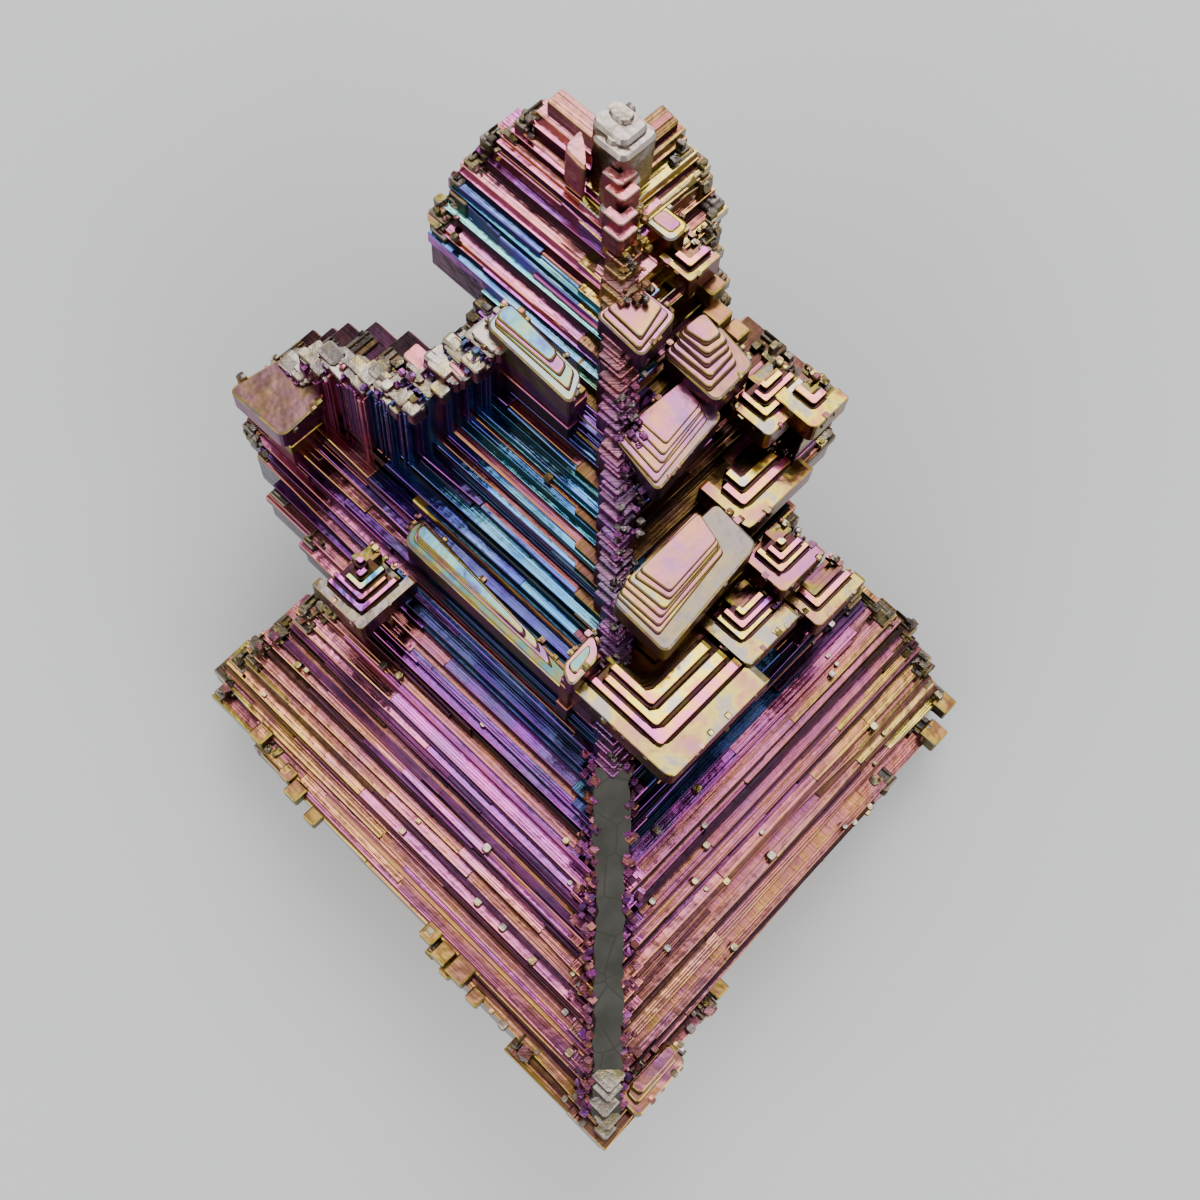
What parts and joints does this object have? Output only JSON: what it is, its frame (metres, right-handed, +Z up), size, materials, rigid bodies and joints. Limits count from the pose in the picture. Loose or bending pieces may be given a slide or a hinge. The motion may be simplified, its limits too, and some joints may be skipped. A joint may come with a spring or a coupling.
{
  "type": "bismuth hopper crystal",
  "caption": "Skeletal bismuth crystal with stepped V-shaped terraces, ragged arm ends and hopper plates along its spine, lying on a flat facet.",
  "frame": {"origin": "centre of the bounding box in X and Y, at its lowest face, which rests on the floor", "axes": "+Z up as it lies, which is its least extent; +Y from the pointed tip towards the rounded top lobe, which is its greatest extent; +X towards the arms with the hopper plates"},
  "size_m": [0.0548, 0.0688, 0.03],
  "materials": {
    "oxidised_bismuth": "silvery metal under a thin oxide film that shows violet, blue, pink and gold"
  },
  "bodies": {
    "root": {"bismuth_crystal": "oxidised_bismuth"}
  },
  "joints": []
}
